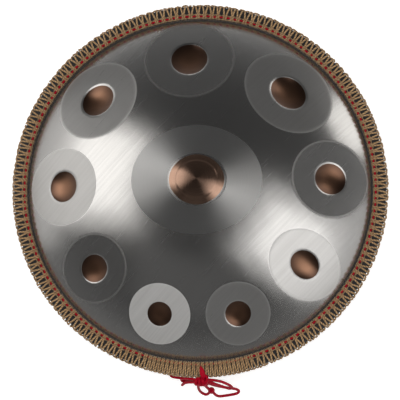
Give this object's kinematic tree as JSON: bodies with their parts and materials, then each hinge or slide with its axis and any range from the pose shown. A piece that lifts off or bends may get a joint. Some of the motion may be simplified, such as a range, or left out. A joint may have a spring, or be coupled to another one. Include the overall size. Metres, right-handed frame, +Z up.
{
  "type": "handpan",
  "caption": "Round steel hand drum: two bonded domed shells, dimpled tone fields around a raised centre, a port below, and a corded rim tied with a satin bow.",
  "frame": {"origin": "middle of the flat ring that the instrument stands on, at the ground", "axes": "+Z up through the raised centre of the top shell, -Y towards the bow at the rim"},
  "size_m": [0.56, 0.588, 0.21],
  "materials": {
    "note_shell_steel": "brushed, with satin tone fields and heat-coloured copper-brown dimples",
    "lower_shell_steel": "brushed",
    "adhesive": "cured epoxy",
    "trim_rubber": "matte",
    "net_cord": "twisted jute",
    "satin_cord": "satin"
  },
  "bodies": {
    "root": {"top_shell": "note_shell_steel", "bottom_shell": "lower_shell_steel", "flange_bond": "adhesive", "edge_trim": "trim_rubber", "upper_net": "net_cord", "lower_net": "net_cord", "upper_drawcord": "satin_cord", "lower_drawcord": "satin_cord", "upper_tie_strap": "satin_cord", "lower_tie_strap": "satin_cord", "bow_knot": "satin_cord", "bow_loop_upper": "satin_cord", "bow_loop_large": "satin_cord", "bow_lead": "satin_cord", "bow_loop_small": "satin_cord", "bow_loop_left": "satin_cord", "tie_strand": "satin_cord", "tail": "satin_cord", "end_knot": "satin_cord"}
  },
  "joints": []
}
